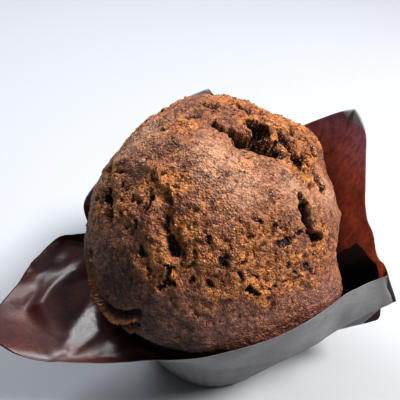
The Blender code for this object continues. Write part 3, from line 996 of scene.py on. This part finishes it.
INSIDE_BROWN = (0.100, 0.022, 0.017, 1.0)
INSIDE_DARK = (0.050, 0.014, 0.014, 1.0)
OUTSIDE_GREY = (0.310, 0.308, 0.315, 1.0)
OUTSIDE_DARK = (0.215, 0.210, 0.222, 1.0)
# Painted shade: the doubled fold, the flap below the band and the foot of the cup
PAINTED_SHADE_BLACK = (0.006, 0.002, 0.004, 1.0)
INSIDE_GLOW = (0.860, 0.200, 0.090, 1.0)
TOP_GLOW = (0.700, 0.300, 0.380, 1.0)      # the brown side's own light that comes through a petal
OUTSIDE_GLOW = (0.900, 0.860, 0.820, 1.0)


def paper_relief(s, where, cloud, fibre):
    """Fine creases, fibres and soft unevenness as a bump."""
    cells = {"Vector": where, "Scale": 95.0}
    crease = s.make("ShaderNodeTexVoronoi", {"feature": "DISTANCE_TO_EDGE"}, cells)
    relief = crease.clear_of(0.0, 0.10) * 0.15 + fibre * 0.30 + cloud * 0.50
    return s.make("ShaderNodeBump", {}, {"Strength": 0.35, "Distance": 0.0003, "Height": relief})


def glow_inside(s, where, cloud, single):
    """Colour and share of the light that comes through a petal to its brown side, where it is one layer."""
    height = s.along(where, 2)
    tint = s.mix(height.clear_of(0.064, 0.084), INSIDE_GLOW, TOP_GLOW)
    drawn_out = s.make("ShaderNodeMapping", {}, {"Vector": where, "Scale": (1.0, 1.0, 0.45)})
    streaks = s.noise(drawn_out, 520.0, 4.0, 0.7)
    tint = s.mix(streaks.clear_of(0.38, 0.66) * 0.45, tint, INSIDE_DARK)
    tint = s.mix(cloud.clear_of(0.40, 0.62) * 0.30, tint, INSIDE_DARK)
    return tint, height.clear_of(0.040, 0.052) * single * 0.68


def glow_outside(s, where):
    """Colour and share of the light that comes through to the pale side, high up and at the front right."""
    beside = s.along(where, 0).clear_of(0.044, 0.050)
    behind = s.along(where, 1).clear_of(-0.017, -0.011)
    raised = s.along(where, 2).clear_of(0.050, 0.078)
    return OUTSIDE_GLOW, s.maths("MAXIMUM", raised, beside * behind) * 0.50


def paper_finish(name, inside):
    """Greaseproof paper: brown and glossy inside, pale outside, with light through its raised parts."""
    made, s, shader = new_finish(name)
    where = s.place()
    cloud = s.noise(where, 70.0, 5.0, 0.65)
    fibre = s.noise(where, 900.0, 2.0, 0.6)
    colour = s.mix(cloud.clear_of(0.35, 0.65), OUTSIDE_DARK, OUTSIDE_GREY)
    if inside:
        turned = s.kept("turned").clear_of(-0.05, 0.10)
        doubled = s.kept("doubled").clear_of(-0.10, 0.15)
        mottle = s.noise(where, 260.0, 4.0, 0.7)
        brown = s.mix(cloud.clear_of(0.35, 0.65), INSIDE_DARK, INSIDE_BROWN)
        brown = s.mix(mottle.clear_of(0.45, 0.65) * 0.40, brown, INSIDE_DARK)
        colour = s.mix(turned, brown, colour)
        # Painted shadow: the pocket where the sheet folds double is painted near black.
        colour = s.mix(doubled, colour, PAINTED_SHADE_BLACK)
        tint, share = glow_inside(s, where, cloud, (1.0 - turned) * (1.0 - doubled))
        gloss = 0.36
        shader.inputs["Specular IOR Level"].default_value = 0.7
    else:
        # Painted shade: the pale side darkens towards the foot of the cup.
        low = 1.0 - s.along(where, 2).clear_of(0.026, 0.042)
        colour = s.mix(low, colour, s.mix(0.35, colour, PAINTED_SHADE_BLACK))
        tint, share = glow_outside(s, where)
        gloss = 0.50
    colour = s.mix(fibre.clear_of(0.45, 0.75) * 0.22, colour, s.mix(0.5, colour, INSIDE_DARK))
    feed(shader, "Base Color", colour)
    feed(shader, "Roughness", cloud * 0.18 + fibre * 0.10 + (gloss - 0.14))
    bump = paper_relief(s, where, cloud, fibre)
    feed(shader, "Normal", bump)
    through = s.make("ShaderNodeBsdfTranslucent", {}, {"Color": tint, "Normal": bump})
    surface = Shade(s.tree, shader.outputs[0])
    both = s.make("ShaderNodeMixShader", {}, {0: share, 1: surface, 2: through})
    feed(s.tree.nodes["Material Output"], "Surface", both)
    return made


def flap_finish():
    """The flap's brown side, darkened by painted shadow to near black, and dull."""
    made, s, shader = new_finish("greaseproof_flap")
    cloud = s.noise(s.place(), 200.0, 4.0, 0.6)
    feed(shader, "Base Color", s.mix(cloud.clear_of(0.35, 0.65), PAINTED_SHADE_BLACK, INSIDE_DARK))
    feed(shader, "Roughness", cloud * 0.2 + 0.6)
    shader.inputs["Specular IOR Level"].default_value = 0.1
    return made


case = make_case()
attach(case, "root")
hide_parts("tulip_paper_case")
